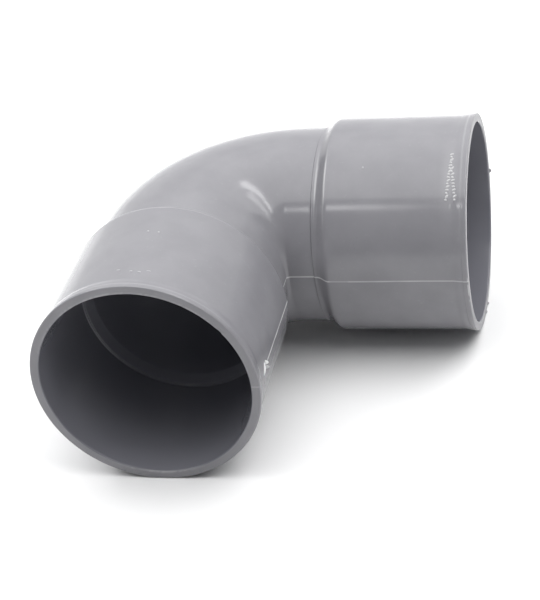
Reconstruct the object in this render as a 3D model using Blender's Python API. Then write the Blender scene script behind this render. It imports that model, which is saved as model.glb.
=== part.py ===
"""A 90 degree elbow in grey PVC with a plain glue-in socket on each leg, for 63 mm pipe.

The elbow lies flat. The two socket axes cross at one point: the inlet leg runs from there
towards -Y and the outlet leg towards +X. The world origin is on the resting surface, under
the middle of the bounding box.

The bend body is a hollow swept tube. Each of its ends is a spigot inside the collar of a
socket, and the spigot's end is the stop that a pipe pushed into the socket meets.
"""

import math

import bmesh
import bpy
from mathutils import Vector

# The bend body
BEND_RADIUS = 0.0316
BEND_BORE_RADIUS = 0.0288
CENTRELINE_RADIUS = 0.0326
SPIGOT_RADIUS = 0.0314
STOP_LENGTH = 0.0030
STOP_EDGE_RADIUS = 0.0306

# The sockets
SOCKET_RADIUS = 0.0344
SOCKET_BORE_RADIUS = 0.0317
SOCKET_DEPTH = 0.0420
COLLAR_LIP_RADIUS = 0.0322
SHOULDER_LENGTH = 0.0050
SHOULDER_EDGE = 0.0006
LIP_RADIUS = 0.0349
LIP_WIDTH = 0.0032
LIP_RAMP = 0.0008
MOUTH_CHAMFER = 0.0006
MOUTH_EDGE = 0.0004

# Distances along each leg from the point where the axes cross
MOUTH = 0.0891
COLLAR_END = 0.0405
PIPE_STOP = MOUTH - SOCKET_DEPTH

GAP = 0.0003
SIDES = 48
BEND_STEPS = 16
SHARP_ANGLE = math.radians(30)
RIGHT_ANGLE = math.radians(90)

# Half the difference of the mouth's reach and the lip's centres the bounding box on the origin
CENTRING = (MOUTH - LIP_RADIUS) / 2
CROSSING = Vector((-CENTRING, CENTRING, LIP_RADIUS))

INLET = Vector((0, -1, 0))
OUTLET = Vector((1, 0, 0))
UP = Vector((0, 0, 1))
BEND_CENTRE = (INLET + OUTLET) * CENTRELINE_RADIUS

GREY_PVC = (0.34, 0.34, 0.36, 1)
PVC_ROUGHNESS = 0.38


def clear_scene():
    for old in list(bpy.data.objects):
        bpy.data.objects.remove(old, do_unlink=True)


def plastic(name):
    material = bpy.data.materials.new(name)
    material.use_nodes = True
    shader = material.node_tree.nodes["Principled BSDF"]
    shader.inputs["Base Color"].default_value = GREY_PVC
    shader.inputs["Roughness"].default_value = PVC_ROUGHNESS
    shader.inputs["Metallic"].default_value = 0
    return material


def finish_object(name, bm):
    """Turns the bmesh into a named, smooth-shaded object with a material of its own."""
    bmesh.ops.recalc_face_normals(bm, faces=bm.faces)
    mesh = bpy.data.meshes.new(name)
    bm.to_mesh(mesh)
    bm.free()
    mesh.shade_smooth()
    mesh.set_sharp_from_angle(angle=SHARP_ANGLE)
    mesh.materials.append(plastic(name + "_pvc"))
    piece = bpy.data.objects.new(name, mesh)
    bpy.context.scene.collection.objects.link(piece)
    return piece


def bend_path(leg):
    """Centres and sideways directions from one end of the body to the other.

    leg holds distances from the crossing, outermost first, and ends where the arc starts."""
    path = [(INLET * distance, OUTLET) for distance in leg]
    for step in range(1, BEND_STEPS):
        turned = RIGHT_ANGLE * step / BEND_STEPS
        outward = -math.cos(turned) * OUTLET - math.sin(turned) * INLET
        path.append((BEND_CENTRE + outward * CENTRELINE_RADIUS, -outward))
    path += [(OUTLET * distance, INLET) for distance in reversed(leg)]
    return path


def sweep_skin(bm, stations):
    """Sweeps a circle along the bend and returns its first and last rings.

    stations are (distance, radius) pairs down one leg, and the other leg mirrors them."""
    leg = [distance for distance, _ in stations]
    leg_radii = [radius for _, radius in stations]
    arc_radii = [leg_radii[-1]] * (BEND_STEPS - 1)
    radii = leg_radii + arc_radii + leg_radii[::-1]
    rings = []
    for (centre, side), radius in zip(bend_path(leg), radii):
        ring = []
        for corner in range(SIDES):
            angle = 2 * math.pi * corner / SIDES
            spoke = math.cos(angle) * side + math.sin(angle) * UP
            ring.append(bm.verts.new(centre + radius * spoke))
        rings.append(ring)
    for ring, following in zip(rings, rings[1:]):
        join_rings(bm, ring, following)
    return rings[0], rings[-1]


def join_rings(bm, ring, following):
    for corner in range(SIDES):
        other = (corner + 1) % SIDES
        bm.faces.new((ring[corner], ring[other], following[other], following[corner]))


def make_bend_body():
    """The swept tube, with a spigot at each end and a coned inner edge where a pipe stops."""
    spigot_root = COLLAR_END - GAP
    outside = [
        (PIPE_STOP, SPIGOT_RADIUS),
        (spigot_root, SPIGOT_RADIUS),
        (spigot_root, BEND_RADIUS),
        (CENTRELINE_RADIUS, BEND_RADIUS),
    ]
    inside = [
        (PIPE_STOP, STOP_EDGE_RADIUS),
        (PIPE_STOP - STOP_LENGTH, BEND_BORE_RADIUS),
        (CENTRELINE_RADIUS, BEND_BORE_RADIUS),
    ]
    bm = bmesh.new()
    outer_start, outer_end = sweep_skin(bm, outside)
    inner_start, inner_end = sweep_skin(bm, inside)
    join_rings(bm, outer_start, inner_start)
    join_rings(bm, outer_end, inner_end)
    body = finish_object("bend_body", bm)
    body.location = CROSSING
    return body


def socket_profile():
    """The closed section of a socket as (radius, distance along the leg) pairs."""
    shoulder_end = COLLAR_END + SHOULDER_LENGTH
    lip_start = MOUTH - LIP_WIDTH
    return [
        (SOCKET_BORE_RADIUS, COLLAR_END),
        (COLLAR_LIP_RADIUS, COLLAR_END),
        (SOCKET_RADIUS - SHOULDER_EDGE, shoulder_end - SHOULDER_EDGE),
        (SOCKET_RADIUS, shoulder_end),
        (SOCKET_RADIUS, lip_start - LIP_RAMP),
        (LIP_RADIUS, lip_start),
        (LIP_RADIUS, MOUTH - MOUTH_EDGE),
        (LIP_RADIUS - MOUTH_EDGE, MOUTH),
        (SOCKET_BORE_RADIUS + MOUTH_CHAMFER, MOUTH),
        (SOCKET_BORE_RADIUS, MOUTH - MOUTH_CHAMFER),
    ]


def make_socket(name, tilt):
    """Turns the socket's section about its leg, which tilt lays along -Y or +X."""
    bm = bmesh.new()
    corners = [bm.verts.new((radius, 0, distance)) for radius, distance in socket_profile()]
    edges = [bm.edges.new(pair) for pair in zip(corners, corners[1:] + corners[:1])]
    bmesh.ops.spin(
        bm,
        geom=corners + edges,
        cent=(0, 0, 0),
        axis=UP,
        angle=2 * math.pi,
        steps=SIDES,
        use_merge=True,
    )
    bmesh.ops.remove_doubles(bm, verts=bm.verts, dist=1e-6)
    socket = finish_object(name, bm)
    socket.location = CROSSING
    socket.rotation_euler = tilt
    return socket


def main():
    clear_scene()
    elbow = bpy.data.objects.new("elbow", None)
    bpy.context.scene.collection.objects.link(elbow)
    pieces = [
        make_bend_body(),
        make_socket("inlet_socket", (RIGHT_ANGLE, 0, 0)),
        make_socket("outlet_socket", (0, RIGHT_ANGLE, 0)),
    ]
    for piece in pieces:
        piece.parent = elbow


main()
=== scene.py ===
"""The looks of a grey PVC elbow: its bend, its two glue-in sockets and the small marks of its mould.

Everything is in metres, in the frame's own place. Along a leg, "distance" runs from the point
where the two axes cross out to the mouth, and "angle" turns about the leg's axis, from 0 on
the side that faces the other leg, up to 90 degrees on top.
"""

import math
from collections import namedtuple

import bmesh
import bpy
import numpy as np
from mathutils import Matrix, Vector


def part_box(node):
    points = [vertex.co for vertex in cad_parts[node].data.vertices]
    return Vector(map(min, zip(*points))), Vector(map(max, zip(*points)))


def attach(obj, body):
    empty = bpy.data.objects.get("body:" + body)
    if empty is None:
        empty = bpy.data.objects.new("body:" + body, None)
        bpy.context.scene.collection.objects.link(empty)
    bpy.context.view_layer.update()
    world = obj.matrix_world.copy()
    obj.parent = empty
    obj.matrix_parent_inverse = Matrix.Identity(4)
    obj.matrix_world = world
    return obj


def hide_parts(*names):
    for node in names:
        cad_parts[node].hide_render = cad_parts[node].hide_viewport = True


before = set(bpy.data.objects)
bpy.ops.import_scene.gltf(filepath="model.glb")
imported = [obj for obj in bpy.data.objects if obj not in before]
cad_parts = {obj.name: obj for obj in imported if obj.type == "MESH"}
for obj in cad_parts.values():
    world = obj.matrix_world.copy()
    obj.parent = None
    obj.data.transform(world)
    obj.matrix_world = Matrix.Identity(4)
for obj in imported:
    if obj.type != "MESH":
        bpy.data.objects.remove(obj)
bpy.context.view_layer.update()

MM = 0.001

# The frame's own measures
BEND_LOW, BEND_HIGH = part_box("bend_body")
INLET_LOW, INLET_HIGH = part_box("inlet_socket")
OUTLET_LOW, OUTLET_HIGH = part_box("outlet_socket")
CROSSING = np.array([
    (INLET_LOW.x + INLET_HIGH.x) / 2,
    (OUTLET_LOW.y + OUTLET_HIGH.y) / 2,
    (INLET_LOW.z + INLET_HIGH.z) / 2,
])
LIP_RADIUS = (INLET_HIGH.z - INLET_LOW.z) / 2
BEND_RADIUS = (BEND_HIGH.z - BEND_LOW.z) / 2
MOUTH = CROSSING[1] - INLET_LOW.y
COLLAR_END = CROSSING[1] - INLET_HIGH.y
PIPE_STOP = CROSSING[1] - BEND_LOW.y

# Walls and radii that follow from them
SOCKET_RADIUS = LIP_RADIUS - 0.5 * MM
SOCKET_BORE = SOCKET_RADIUS - 2.7 * MM
BEND_BORE = BEND_RADIUS - 2.8 * MM
THROAT_RADIUS = 1.0 * MM
CENTRELINE_RADIUS = BEND_RADIUS + THROAT_RADIUS
SPIGOT_RADIUS = BEND_RADIUS - 0.6 * MM
HAIRLINE = 0.05 * MM
STOP_CONE = 3.0 * MM
STOP_FACE = BEND_BORE + 1.8 * MM
MOUTH_CHAMFER = 0.3 * MM
LEAD_IN_DEPTH = 7.0 * MM
INNER_RIM = SOCKET_BORE + 0.65 * MM
LIP_STEP = MOUTH - 1.7 * MM

# The mould's parting line
SEAM_HEIGHT = 0.17 * MM
SEAM_HALF_WIDTH = 0.36 * MM
SEAM_WAVER = 0.05 * MM
SEAM_FADE = 1.2 * MM
INNER_SIDE = 0
OUTER_SIDE = math.pi

# Wear, and where highlights are painted on. MARGIN keeps the edge of a mask clear of a surface that
# lies right on a measure.
MARGIN = 0.05 * MM
SEAM_WHITENING_AND_SHEEN = 0.7
FOOT = -math.pi / 2
FOOT_HALF_WIDTH = math.radians(32)
CHIPPED_FROM_SEAM = math.radians(-5)
CHIPPED_HALF_WIDTH = math.radians(15)
CHIP_DEPTH = 0.25 * MM
DENT_DEPTH = 0.35 * MM
DENT_HALF_WIDTH = 0.8 * MM
SHOULDER_CREST = COLLAR_END + 4.3 * MM
SHEEN_CENTRE = 83.6 * MM
SHEEN_HALF_WIDTH = 3.4 * MM

# A leg points along its heading, and its throat direction, at angle 0, faces the other leg
UP = np.array([0.0, 0.0, 1.0])
Leg = namedtuple("Leg", "heading throat")
INLET = Leg(np.array([0.0, -1.0, 0.0]), np.array([1.0, 0.0, 0.0]))
OUTLET = Leg(np.array([1.0, 0.0, 0.0]), np.array([0.0, -1.0, 0.0]))

# The camera, from a fit to the photo's silhouette
CAMERA_PLACE = Vector((0.12795, -0.44211, 0.32165))
CAMERA_TARGET = Vector((-0.00850, 0.01699, 0.01173))
CAMERA_ROLL = math.radians(-9.338)
CAMERA_LENS = 102.61


# ---------------------------------------------------------------- outlines

CORNER_STEPS = 6


def rounded(corners):
    """A closed outline of (place, radius) points with each corner turned into a curve.

    corners are (place, radius, reach), where reach is how far from the corner its curve starts."""
    points = []
    count = len(corners)
    for index, (place, radius, reach) in enumerate(corners):
        corner = np.array([place, radius])
        if reach == 0:
            points.append(corner)
            continue
        before = np.array(corners[index - 1][:2]) - corner
        after = np.array(corners[(index + 1) % count][:2]) - corner
        start = corner + before / np.linalg.norm(before) * reach
        finish = corner + after / np.linalg.norm(after) * reach
        for step in range(CORNER_STEPS + 1):
            s = step / CORNER_STEPS
            points.append((1 - s) ** 2 * start + 2 * s * (1 - s) * corner + s ** 2 * finish)
    return np.array(points)


def subdivided(outline, longest):
    """The closed outline with points added so that no stretch is longer than longest."""
    points = []
    for point, following in zip(outline, np.roll(outline, -1, axis=0)):
        pieces = max(1, math.ceil(np.linalg.norm(following - point) / longest))
        for piece in range(pieces):
            points.append(point + (following - point) * piece / pieces)
    return np.array(points)


def ring_angles(sides, fan, fine):
    """Angles round a leg, even but for a dense fan across the parting line on either side."""
    even = np.arange(sides) * 2 * math.pi / sides
    off_seam = np.abs((even + math.pi / 2) % math.pi - math.pi / 2)
    fans = np.arange(-fan, fan + fine / 2, fine)
    return np.sort(np.concatenate([
        even[off_seam > fan + fine],
        fans % (2 * math.pi),
        math.pi + fans,
    ]))


ANGLES = ring_angles(sides=256, fan=math.radians(1.2), fine=math.radians(0.12))


# ---------------------------------------------------------------- placing

def on_leg(leg):
    """A function that places points at a distance, radius and angle of a leg."""
    def place(distance, radius, angle):
        spoke = np.cos(angle)[..., None] * leg.throat + np.sin(angle)[..., None] * UP
        return CROSSING + distance[..., None] * leg.heading + radius[..., None] * spoke
    return place


HALF_ARC = CENTRELINE_RADIUS * math.pi / 4
BEND_CENTRE = CROSSING + CENTRELINE_RADIUS * (INLET.heading + OUTLET.heading)


def travel_at(distance):
    """How far from the middle of the bend a distance along either leg is."""
    return HALF_ARC + distance - CENTRELINE_RADIUS


def distance_at(travel):
    return np.abs(travel) - HALF_ARC + CENTRELINE_RADIUS


def on_bend(travel, radius, angle):
    """Places points round the bend's centreline; travel is negative towards the inlet."""
    turned = (np.clip(travel, -HALF_ARC, HALF_ARC) + HALF_ARC) / CENTRELINE_RADIUS
    outward = (-np.cos(turned)[..., None] * OUTLET.heading
               - np.sin(turned)[..., None] * INLET.heading)
    inlet_run = np.clip(-travel - HALF_ARC, 0, None)[..., None] * INLET.heading
    outlet_run = np.clip(travel - HALF_ARC, 0, None)[..., None] * OUTLET.heading
    centre = BEND_CENTRE + outward * CENTRELINE_RADIUS + inlet_run + outlet_run
    spoke = -np.cos(angle)[..., None] * outward + np.sin(angle)[..., None] * UP
    return centre + radius[..., None] * spoke


# ---------------------------------------------------------------- relief

def smooth(value, low, high):
    """0 up to low, 1 from high, and a soft step between them."""
    s = np.clip((value - low) / (high - low), 0, 1)
    return s * s * (3 - 2 * s)


def bump(value, centre, half_width):
    """A smooth hump of height 1 at centre, down to 0 at half_width to either side."""
    return np.cos(np.clip((value - centre) / half_width, -1, 1) * math.pi / 2) ** 2


def stretch(distance, start, finish):
    """1 between start and finish, fading to 0 just outside them."""
    begun = smooth(distance, start - SEAM_FADE, start)
    return begun * (1 - smooth(distance, finish, finish + SEAM_FADE))


def angle_from(angle, side):
    """The angle measured from a side, between minus and plus half a turn."""
    return (angle - side + math.pi) % (2 * math.pi) - math.pi


def seam(distance, radius, angle, side, strength):
    """The raised line that the mould's two halves leave, as a height of 0 to 1."""
    waver = SEAM_WAVER * np.sin(distance / (7 * MM) + side)
    across = angle_from(angle, side) * radius + waver
    worn = 0.85 + 0.15 * np.sin(distance / (2.3 * MM) + 2 * np.sin(distance / (5.1 * MM)))
    return bump(across, 0, SEAM_HALF_WIDTH) * strength * worn


def bend_detail(travel, radius, angle):
    """How far the bend's skin is raised, and masks of where it is pale, dull, or painted darker as
    shade inside.
    """
    distance = distance_at(travel)
    height = np.zeros_like(travel)
    for side, strength in ((INNER_SIDE, 0.75), (OUTER_SIDE, 0.7)):
        height = np.maximum(height, seam(travel, radius, angle, side, strength))
    height = height * (radius > SPIGOT_RADIUS + 0.1 * MM)
    under_collar = distance > COLLAR_END + 0.5 * MM
    in_bore = radius < STOP_FACE - 0.1 * MM
    # Painted highlight: a faint pale line round the edge of the pipe stop inside the bore
    stop_edge = bump(distance, PIPE_STOP - STOP_CONE, 0.5 * MM)
    return SEAM_HEIGHT * height, {
        # The seam is pale partly from stress whitening and partly as a painted sheen of the ridge
        # catching light
        "pale": np.maximum(height ** SEAM_WHITENING_AND_SHEEN, 0.05 * stop_edge),
        "matt": np.zeros_like(height),
        # Painted shade: the bend's inside and its spigot under the collar take the darker bore
        # colour
        "bore": under_collar | in_bore,
    }


def socket_detail(inner, outer, face_mark, nick, chips, painted_glint_at, collar, shoulder, painted_sheen):
    """The same of a socket.

    inner and outer list the parting line's (start, finish, strength) on its two sides, and
    face_mark is how strongly it crosses the mouth's face on the inner side. nick is the angle
    of a small dent in the mouth's inner edge. chips is how strongly the mouth's edges are
    chipped beside the parting line. The rest paint highlights: the first is the (angle, half
    width) of the patch where they are painted; there, collar is the (distance past the collar's
    end, amount) of a painted glint line, shoulder is how bright a glint is painted on the
    shoulder's crest, and the last is how strong a painted sheen is on the wall behind the
    mouth. The mouth's edges also get painted highlights at the top and the bottom."""
    collar_shift, collar_amount = collar

    def detail(distance, radius, angle):
        lead_in = (distance > MOUTH - LEAD_IN_DEPTH) & (radius < INNER_RIM - MARGIN)
        outside = (radius > SOCKET_BORE + MARGIN) & ~lead_in
        chamfer = lead_in & (distance > MOUTH - MOUTH_CHAMFER - MARGIN)
        face = smooth(distance, MOUTH - 0.35 * MM, MOUTH - 0.1 * MM) * outside

        height = np.zeros_like(distance)
        for side, stretches in ((INNER_SIDE, inner), (OUTER_SIDE, outer)):
            for start, finish, strength in stretches:
                run = strength * stretch(distance, start, finish)
                height = np.maximum(height, seam(distance, radius, angle, side, run))
        height = height * outside * (1 - face)
        mark = face_mark * face * seam(distance, radius, angle, INNER_SIDE, 1)

        upward = np.clip(np.sin(angle), 0, 1) ** 1.5
        foot = bump(angle_from(angle, FOOT), 0, FOOT_HALF_WIDTH)
        ragged = 0.6 + 0.4 * np.sin(61 * angle + 3 * np.sin(23 * angle))
        inner_rim = bump(distance, MOUTH - 0.1 * MM, 0.4 * MM) * bump(radius, INNER_RIM, 0.3 * MM)
        outer_rim = bump(distance, MOUTH, 0.5 * MM) * bump(radius, LIP_RADIUS, 0.35 * MM)
        step = bump(distance, LIP_STEP, 0.25 * MM) * outside
        # Painted highlights: pale lines along the mouth's edges and lip step, only on top where they
        # face the lights
        painted_top_highlight = (inner_rim * 0.5 * ragged + outer_rim * 0.3 + step * 0.25) * upward
        # Painted highlights: pale lines along the mouth's edges at the bottom
        painted_foot_highlight = (inner_rim * 0.45 * ragged + outer_rim * 0.6) * foot

        teeth = np.sin(47 * angle + 2 * np.sin(31 * angle)) > 0
        beside_seam = bump(angle_from(angle, INNER_SIDE), CHIPPED_FROM_SEAM, CHIPPED_HALF_WIDTH)
        chipped = chips * beside_seam * teeth

        # Painted glints: pale lines at the collar's end and on the shoulder's crest, within a patch
        # of angles
        collar_edge = bump(distance, COLLAR_END + collar_shift, 0.28 * MM) * (radius > BEND_RADIUS)
        shoulder_edge = bump(distance, SHOULDER_CREST, 0.45 * MM) * outside
        # Painted sheen: a soft pale band on the wall behind the far mouth
        painted_sheen_band = painted_sheen * bump(distance, SHEEN_CENTRE, SHEEN_HALF_WIDTH) * outside
        painted_glints_and_sheen = collar_edge * collar_amount + shoulder_edge * shoulder + painted_sheen_band

        # Pale: the seam and its mark are partly stress whitening and partly painted sheen; the edge
        # lines are painted highlights; the chips are whitened
        pale = height ** SEAM_WHITENING_AND_SHEEN + mark + painted_top_highlight + (inner_rim + outer_rim) * chipped
        pale = pale + painted_foot_highlight
        pale = pale + painted_glints_and_sheen * bump(angle, *painted_glint_at)

        dent = bump(angle, nick, DENT_HALF_WIDTH / SOCKET_BORE) * (radius < INNER_RIM + 0.1 * MM)
        raised = SEAM_HEIGHT * height
        raised = raised + DENT_DEPTH * dent * smooth(distance, MOUTH - 1.2 * MM, MOUTH - 0.4 * MM)
        raised = raised - CHIP_DEPTH * outer_rim * chipped
        return raised, {
            "pale": pale,
            "matt": 0.6 * face,
            # Painted shade: the bore and lead-in take the darker bore colour, except the chamfer at
            # top and bottom
            "bore": ~outside * (1 - chamfer * np.maximum(upward, foot)),
        }
    return detail


# ---------------------------------------------------------------- bodies

def grid_faces(rings, sides, closed):
    """Quads between rings of points. closed joins the last ring to the first."""
    rows = rings if closed else rings - 1
    ring, side = np.meshgrid(np.arange(rows), np.arange(sides), indexing="ij")
    next_ring = (ring + 1) % rings
    next_side = (side + 1) % sides
    return np.stack([
        ring * sides + side,
        ring * sides + next_side,
        next_ring * sides + next_side,
        next_ring * sides + side,
    ], axis=-1).reshape(-1, 4)


def facing_out(points, faces):
    """The faces, turned over if they enclose a negative volume."""
    a, b, c, d = (points[faces[:, corner]] for corner in range(4))
    volume = np.einsum("ij,ij->", a, np.cross(b, c)) + np.einsum("ij,ij->", a, np.cross(c, d))
    return faces if volume > 0 else faces[:, ::-1]


def shown(name, points, faces, material, masks):
    """Links a smooth mesh, with its masks as attributes for the material to read."""
    mesh = bpy.data.meshes.new(name)
    mesh.from_pydata(points, [], faces)
    mesh.shade_smooth()
    for mask, values in masks.items():
        values = np.clip(values, 0.0, 1.0).reshape(-1)
        mesh.attributes.new(mask, "FLOAT", "POINT").data.foreach_set("value", values)
    mesh.materials.append(material)
    piece = bpy.data.objects.new(name, mesh)
    bpy.context.scene.collection.objects.link(piece)
    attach(piece, "root")
    return piece


def swept(name, outline, place, detail, material):
    """Carries a closed (place, radius) outline right round, raised by its detail."""
    at, angle = np.meshgrid(outline[:, 0], ANGLES, indexing="ij")
    radius, _ = np.meshgrid(outline[:, 1], ANGLES, indexing="ij")
    raised, masks = detail(at, radius, angle)
    points = place(at, radius + raised, angle).reshape(-1, 3)
    faces = facing_out(points, grid_faces(len(outline), len(ANGLES), closed=True))
    return shown(name, points.tolist(), faces.tolist(), material, masks)


# ---------------------------------------------------------------- material

DARK_GREY = (0.190, 0.188, 0.203, 1)
LIGHT_GREY = (0.210, 0.208, 0.223, 1)
GRAIN_GREY = (0.26, 0.26, 0.27, 1)
DUST_GREY = (0.13, 0.13, 0.14, 1)
# Painted shade, not a colour of the plastic: the darker, bluer grey given to the bores
BORE_SHADE_GREY = (0.165, 0.166, 0.188, 1)


def pvc(name, offset, whitest=0.60):
    """Semi-gloss grey PVC with faint flow clouds, grain, specks and orange peel.

    offset moves the pattern, so that no two pieces share it, and whitest is the colour that
    full pale reaches. The pale mask marks stress whitening and painted sheen along seams, whitened
    chips, and painted highlights and glints on edges and small marks; matt says where it is dull,
    and bore where it is painted a darker, bluer shade."""
    material = bpy.data.materials.new(name)
    material.use_nodes = True
    tree = material.node_tree
    shader = tree.nodes["Principled BSDF"]

    def node(kind, **values):
        """A new node. Each value is a setting of the node or, failing that, one of its sockets."""
        made = tree.nodes.new(kind)
        for key, value in values.items():
            if hasattr(made, key):
                setattr(made, key, value)
            else:
                made.inputs[key].default_value = value
        return made

    def link(source, target):
        tree.links.new(source, target)

    place = node("ShaderNodeTexCoord")
    shift = node("ShaderNodeMapping", Location=offset)
    link(place.outputs["Object"], shift.inputs["Vector"])
    where = shift.outputs["Vector"]

    def noise(scale, detail, rough=0.5):
        made = node("ShaderNodeTexNoise", Scale=scale, Detail=detail, Roughness=rough)
        link(where, made.inputs["Vector"])
        return made.outputs["Fac"]

    def ranged(source, low, high, to_low, to_high):
        made = node("ShaderNodeMapRange", clamp=True)
        limits = {"From Min": low, "From Max": high, "To Min": to_low, "To Max": to_high}
        for limit, value in limits.items():
            made.inputs[limit].default_value = value
        link(source, made.inputs["Value"])
        return made.outputs["Result"]

    def mask(attribute, strength=1.0):
        made = node("ShaderNodeAttribute", attribute_name=attribute)
        return ranged(made.outputs["Fac"], 0, 1, 0, strength)

    def mixed(factor, first, second):
        made = node("ShaderNodeMix", data_type="RGBA")
        link(factor, made.inputs["Factor"])
        for socket, value in ((made.inputs["A"], first), (made.inputs["B"], second)):
            if isinstance(value, tuple):
                socket.default_value = value
            else:
                link(value, socket)
        return made.outputs["Result"]

    clouds = ranged(noise(85, 5), 0.35, 0.65, 0, 1)
    colour = mixed(clouds, DARK_GREY, LIGHT_GREY)
    grain = ranged(noise(900, 2), 0.62, 0.80, 0, 0.25)
    colour = mixed(grain, colour, GRAIN_GREY)
    specks = node("ShaderNodeTexVoronoi", Scale=260)
    link(where, specks.inputs["Vector"])
    dust = ranged(specks.outputs["Distance"], 0.04, 0.08, 0.15, 0)
    colour = mixed(dust, colour, DUST_GREY)
    # Pale: stress whitening, and painted highlights, glints and sheen on edges and marks
    colour = mixed(mask("pale", 0.85), colour, (whitest, whitest, whitest, 1))
    # Painted shade inside the bores
    colour = mixed(mask("bore"), colour, BORE_SHADE_GREY)
    link(colour, shader.inputs["Base Color"])

    gloss = ranged(noise(70, 4, 0.6), 0.3, 0.7, 0.14, 0.19)
    roughness = node("ShaderNodeMath", operation="ADD")
    link(gloss, roughness.inputs[0])
    link(mask("matt", 0.30), roughness.inputs[1])
    link(roughness.outputs["Value"], shader.inputs["Roughness"])
    shader.inputs["IOR"].default_value = 1.5

    peel = node("ShaderNodeBump", Strength=0.12, Distance=0.00005)
    link(noise(420, 2), peel.inputs["Height"])
    ripple = node("ShaderNodeBump", Strength=0.25, Distance=0.0003)
    link(noise(60, 2), ripple.inputs["Height"])
    link(peel.outputs["Normal"], ripple.inputs["Normal"])
    link(ripple.outputs["Normal"], shader.inputs["Normal"])
    return material


# ---------------------------------------------------------------- the three mouldings

def make_bend():
    stop = travel_at(PIPE_STOP)
    joint = travel_at(COLLAR_END - HAIRLINE)
    half = [
        (joint, BEND_RADIUS, 0.1 * MM),
        (joint, SPIGOT_RADIUS, 0),
        (stop, SPIGOT_RADIUS, 0.1 * MM),
        (stop, STOP_FACE, 0.2 * MM),
        (stop - STOP_CONE, BEND_BORE, 0.25 * MM),
    ]
    mirrored = [(-place, radius, reach) for place, radius, reach in reversed(half)]
    outline = subdivided(rounded(half + mirrored), 0.9 * MM)
    bend = swept("bend", outline, on_bend, bend_detail, pvc("bend_pvc", (0, 0, 0)))
    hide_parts("bend_body")


def socket_outline():
    """The section of a socket: out over the shoulder and lip, then back down the bore."""
    spigot_room = SPIGOT_RADIUS + HAIRLINE
    corners = [
        (COLLAR_END, spigot_room, 0),
        (COLLAR_END, BEND_RADIUS + 0.32 * MM, 0.28 * MM),
        (COLLAR_END + 1.5 * MM, BEND_RADIUS + 0.26 * MM, 1.1 * MM),
        (COLLAR_END + 4.4 * MM, SOCKET_RADIUS, 0.9 * MM),
        (MOUTH - 4.5 * MM, SOCKET_RADIUS, 0.6 * MM),
        (MOUTH - 3.1 * MM, LIP_RADIUS - 0.20 * MM, 0.7 * MM),
        (LIP_STEP - 0.05 * MM, LIP_RADIUS - 0.16 * MM, 0.05 * MM),
        (LIP_STEP + 0.10 * MM, LIP_RADIUS - 0.04 * MM, 0.10 * MM),
        (MOUTH, LIP_RADIUS, 0.60 * MM),
        (MOUTH, INNER_RIM, 0.10 * MM),
        (MOUTH - MOUTH_CHAMFER, INNER_RIM - MOUTH_CHAMFER, 0.10 * MM),
        (MOUTH - LEAD_IN_DEPTH, SOCKET_BORE, 3.00 * MM),
        (PIPE_STOP, SOCKET_BORE, 0.15 * MM),
        (PIPE_STOP, spigot_room, 0),
    ]
    return subdivided(rounded(corners), 0.7 * MM)


SOCKET_OUTLINE = socket_outline()


def make_sockets():
    inlet = swept(
        "inlet_socket_moulding", SOCKET_OUTLINE, on_leg(INLET),
        socket_detail(
            inner=[(COLLAR_END, 76.3 * MM, 1)],
            outer=[(COLLAR_END, MOUTH, 0.7)],
            face_mark=0.35,
            nick=math.radians(37),
            chips=0,
            painted_glint_at=(math.radians(95), math.radians(110)),
            collar=(0, 0.75),
            shoulder=0.25,
            painted_sheen=0.0,
        ),
        pvc("inlet_pvc", (0.31, 0.17, 0.05)),
    )
    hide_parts("inlet_socket")
    outlet = swept(
        "outlet_socket_moulding", SOCKET_OUTLINE, on_leg(OUTLET),
        socket_detail(
            inner=[
                (COLLAR_END, 45.2 * MM, 0.7),
                (45.2 * MM, 52 * MM, 0.2),
                (52 * MM, MOUTH, 0.42),
            ],
            outer=[(COLLAR_END, MOUTH, 0.7)],
            face_mark=0.6,
            nick=math.radians(118),
            chips=1.5,
            painted_glint_at=(math.radians(55), math.radians(30)),
            collar=(1.0 * MM, 0.55),
            shoulder=0.45,
            painted_sheen=0.14,
        ),
        pvc("outlet_pvc", (0.53, 0.41, 0.23)),
    )
    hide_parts("outlet_socket")


# ---------------------------------------------------------------- small moulded marks

LUMP_RINGS = 7
LUMP_SIDES = 28
LUMP_ROOT = 0.12 * MM
LUMP_TIP = 1e-3
ON_WALL = ((SOCKET_OUTLINE[:, 1] > SOCKET_RADIUS - 0.01 * MM)
           & (SOCKET_OUTLINE[:, 0] < MOUTH - 0.5 * MM))
WALL = SOCKET_OUTLINE[ON_WALL]


def wall_radius(distance):
    """The outside radius of a socket between its shoulder and its mouth."""
    return np.interp(distance, WALL[:, 0], WALL[:, 1])


def on_wall(leg):
    """Places points by distance, height above the socket's wall, and angle."""
    place = on_leg(leg)
    return lambda distance, height, angle: place(distance, wall_radius(distance) + height, angle)


def on_face(leg):
    """Places points by radius, height above the mouth's flat face, and angle."""
    place = on_leg(leg)
    return lambda radius, height, angle: place(MOUTH + height, radius, angle)


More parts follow.
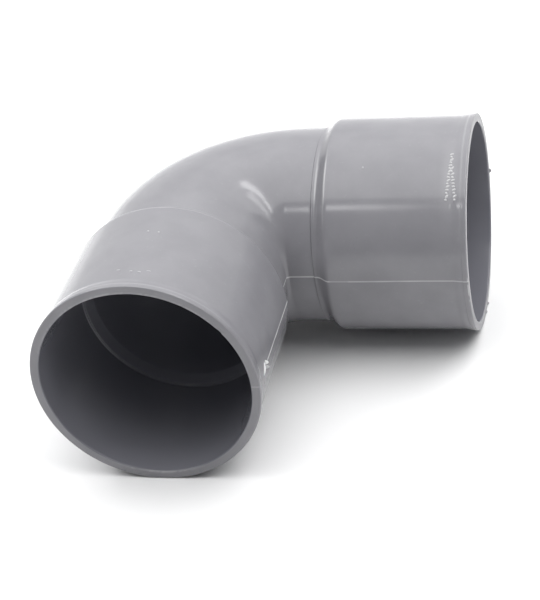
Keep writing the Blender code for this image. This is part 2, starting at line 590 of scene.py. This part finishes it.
def lump(surface, at, angle, along, around, height, whiteness, lean=0.0):
    """A closed low dome, rooted LUMP_ROOT deep in a surface at a place and angle.

    along and around are its half lengths and lean turns it about itself. It comes back as
    points, faces and the whiteness that it was given."""
    turn = np.arange(LUMP_SIDES) * 2 * math.pi / LUMP_SIDES
    share = np.append(np.linspace(1, 1 / LUMP_RINGS, LUMP_RINGS), LUMP_TIP)[:, None]
    rise = height * (1 - share ** 2) - LUMP_ROOT * (share == 1) + 0 * turn
    long = along * share * np.cos(turn)
    wide = around * share * np.sin(turn)
    shift = math.cos(lean) * long - math.sin(lean) * wide
    turned = angle + (math.sin(lean) * long + math.cos(lean) * wide) / SOCKET_RADIUS
    points = surface(at + shift, rise, turned).reshape(-1, 3)
    quads = grid_faces(len(share), LUMP_SIDES, closed=False)
    foot = list(range(LUMP_SIDES))[::-1]
    top = list(range(len(points) - LUMP_SIDES, len(points)))
    return points.tolist(), quads.tolist() + [top, foot], whiteness


def lumps(name, made, material):
    """Joins several lumps into one piece."""
    points, faces, pale = [], [], []
    for own_points, own_faces, whiteness in made:
        start = len(points)
        points.extend(own_points)
        faces.extend([start + corner for corner in face] for face in own_faces)
        pale.extend([whiteness] * len(own_points))
    piece = shown(name, points, faces, material, {"pale": np.array(pale)})
    mesh = bmesh.new()
    mesh.from_mesh(piece.data)
    bmesh.ops.recalc_face_normals(mesh, faces=mesh.faces)
    mesh.to_mesh(piece.data)
    mesh.free()


TALLY_ROWS = 16
TALLY_FIRST = 68.6
TALLY_PITCH = 1.72
TALLY_SINGLE_ROWS = 4


def make_tally_marks():
    """Columns of raised dashes by the far mouth: one that parts into two, and a pip apart."""
    beads = []
    for row in range(TALLY_ROWS):
        angle = math.radians(TALLY_FIRST - TALLY_PITCH * row)
        spread = 0.14 * MM * max(0, row - TALLY_SINGLE_ROWS)
        if row < TALLY_SINGLE_ROWS:
            columns = [84.1 * MM]
        else:
            columns = [83.9 * MM - 0.6 * spread, 84.3 * MM + 0.9 * spread]
        for column in columns:
            wobble = math.sin(2.6 * row + 900 * column / MM)
            # The beads' whiteness is a painted glint on their domes
            beads.append(lump(
                on_wall(OUTLET), column + 0.12 * MM * wobble, angle,
                along=(0.62 + 0.2 * wobble) * MM, around=0.42 * MM, height=0.14 * MM,
                whiteness=0.60, lean=0.9 * wobble,
            ))
    # The pip's whiteness is a painted glint
    beads.append(lump(
        on_wall(OUTLET), 56.8 * MM, math.radians(61.5),
        along=0.35 * MM, around=0.50 * MM, height=0.12 * MM, whiteness=0.35,
    ))
    lumps("outlet_tally_marks", beads, pvc("tally_pvc", (0.2, 0.7, 0.1)))


def make_inlet_marks():
    """Two pips near the shoulder and a row of dashes near the mouth, on top of the near leg."""
    # The marks' whiteness is a painted glint on their domes
    # Distance, angle, half length around the leg, and whiteness
    pips = [
        (58.8, 90.9, 0.42, 0.45),
        (59.3, 85.3, 0.42, 0.45),
    ]
    dashes = [
        (79.5, 96.8, 0.8, 0.22),
        (80.4, 89.8, 0.5, 0.3),
        (80.7, 85.6, 0.6, 0.3),
        (79.9, 81.2, 0.8, 0.22),
    ]
    marks = [
        lump(
            on_wall(INLET), distance * MM, math.radians(angle),
            along=0.42 * MM, around=around * MM, height=0.14 * MM, whiteness=whiteness,
        )
        for distance, angle, around, whiteness in pips + dashes
    ]
    lumps("inlet_mould_marks", marks, pvc("marks_pvc", (0.6, 0.1, 0.4)))


def make_gate_stub():
    """What is left of the gate on the near leg's parting line: a long sliver and two short."""
    # The slivers are white partly as torn plastic whitens and partly as painted glints on their
    # edges
    # Distance, angle, half lengths along and around, height, whiteness and lean
    slivers = [
        (80.5, 0.4, 2.1, 0.20, 0.50, 1.0, -54),
        (78.3, 1.6, 0.7, 0.30, 1.00, 1.0, -70),
        (78.4, -1.0, 0.6, 0.22, 1.05, 0.5, -54),
    ]
    gate = [
        lump(
            on_wall(INLET), distance * MM, math.radians(angle),
            along=along * MM, around=around * MM, height=height * MM,
            whiteness=whiteness, lean=math.radians(lean),
        )
        for distance, angle, along, around, height, whiteness, lean in slivers
    ]
    lumps("gate_stub", gate, pvc("gate_pvc", (0.4, 0.4, 0.9), whitest=0.95))


def make_rim_burrs():
    """Scraps of flash on the far mouth's face."""
    # Angle, half length around the mouth, and height
    scraps = [
        (181, 0.9, 0.65),
        (-96, 0.8, 0.5),
        (-88, 1.1, 0.35),
    ]
    burrs = [
        lump(
            on_face(OUTLET), LIP_RADIUS - 0.75 * MM, math.radians(angle),
            along=0.4 * MM, around=around * MM, height=height * MM, whiteness=0.3,
        )
        for angle, around, height in scraps
    ]
    lumps("outlet_rim_burrs", burrs, pvc("burrs_pvc", (0.8, 0.3, 0.2)))


# ---------------------------------------------------------------- stage

# The accent panels hang lower than the banks, which would hide them from the elbow otherwise
CEILING = 1.035
ACCENTS = 1.0
FLOOR_REACH = 3.0
FLOOR_WHITE = (0.85, 0.85, 0.85, 1)
SKY_WHITE = (0.95, 0.97, 1.0, 1)


def make_floor():
    material = bpy.data.materials.new("floor_white")
    material.use_nodes = True
    shader = material.node_tree.nodes["Principled BSDF"]
    shader.inputs["Base Color"].default_value = FLOOR_WHITE
    shader.inputs["Roughness"].default_value = 0.6
    mesh = bpy.data.meshes.new("floor")
    corners = [(-1, -1, 0), (1, -1, 0), (1, 1, 0), (-1, 1, 0)]
    points = [(x * FLOOR_REACH, y * FLOOR_REACH, z) for x, y, z in corners]
    mesh.from_pydata(points, [], [(0, 1, 2, 3)])
    mesh.materials.append(material)
    floor = bpy.data.objects.new("floor", mesh)
    bpy.context.scene.collection.objects.link(floor)


def softbox(name, place, target, width, depth, brightness, spin=0.0):
    """A plain rectangular panel, turned towards target. Its energy grows with its area, so
    that panels of one brightness look equally bright whatever their size."""
    light = bpy.data.lights.new(name, "AREA")
    light.shape = "RECTANGLE"
    light.size = width
    light.size_y = depth
    light.energy = brightness * width * depth * math.pi
    lamp = bpy.data.objects.new(name, light)
    aim = (Vector(target) - Vector(place)).to_track_quat("-Z", "Y").to_matrix().to_4x4()
    turned = Matrix.Rotation(math.radians(spin), 4, "Z")
    lamp.matrix_world = Matrix.Translation(place) @ aim @ turned
    bpy.context.scene.collection.objects.link(lamp)


def ceiling_panel(name, x, y, width, depth, brightness, spin=0.0, height=CEILING):
    """A softbox that hangs over (x, y) and faces straight down."""
    softbox(name, (x, y, height), (x, y, 0), width, depth, brightness, spin)


def make_lights():
    ceiling_panel("main_bank", 0.0, 0.14, 2.70, 1.52, 2.15)
    ceiling_panel("rear_bank", 0.0, 1.20, 2.70, 0.60, 1.5)
    softbox("back_bank", (0, 1.80, 0.52), (0, 0.95, 0.02), 4.2, 1.20, 1.0)
    ceiling_panel("left_bank", -0.92, 0.00, 0.32, 0.90, 5.0, height=ACCENTS)
    ceiling_panel("right_strip", 0.475, -0.08, 0.12, 1.06, 7.5, spin=21, height=ACCENTS)
    ceiling_panel("right_glow", 0.78, -0.03, 0.20, 0.84, 3.6, spin=37, height=ACCENTS)
    ceiling_panel("front_lamp", -0.240, -0.835, 0.10, 0.12, 11.0, height=ACCENTS)
    softbox("front_wash", (0.9, -1.1, 0.9), (2.2, -2.4, 0), 2.4, 1.2, 2.0)
    world = bpy.data.worlds.new("studio")
    world.use_nodes = True
    background = world.node_tree.nodes["Background"]
    background.inputs["Color"].default_value = SKY_WHITE
    background.inputs["Strength"].default_value = 0.18
    bpy.context.scene.world = world


def make_camera():
    camera = bpy.data.cameras.new("camera")
    camera.lens = CAMERA_LENS
    camera.clip_start = 0.01
    camera.clip_end = 20
    holder = bpy.data.objects.new("camera", camera)
    aim = (CAMERA_TARGET - CAMERA_PLACE).to_track_quat("-Z", "Y").to_matrix().to_4x4()
    roll = Matrix.Rotation(CAMERA_ROLL, 4, "Z")
    holder.matrix_world = Matrix.Translation(CAMERA_PLACE) @ aim @ roll
    bpy.context.scene.collection.objects.link(holder)
    bpy.context.scene.camera = holder


make_bend()
make_sockets()
make_tally_marks()
make_inlet_marks()
make_gate_stub()
make_rim_burrs()
make_floor()
make_lights()
make_camera()
bpy.context.scene.view_settings.view_transform = "Standard"

bpy.context.view_layer.update()
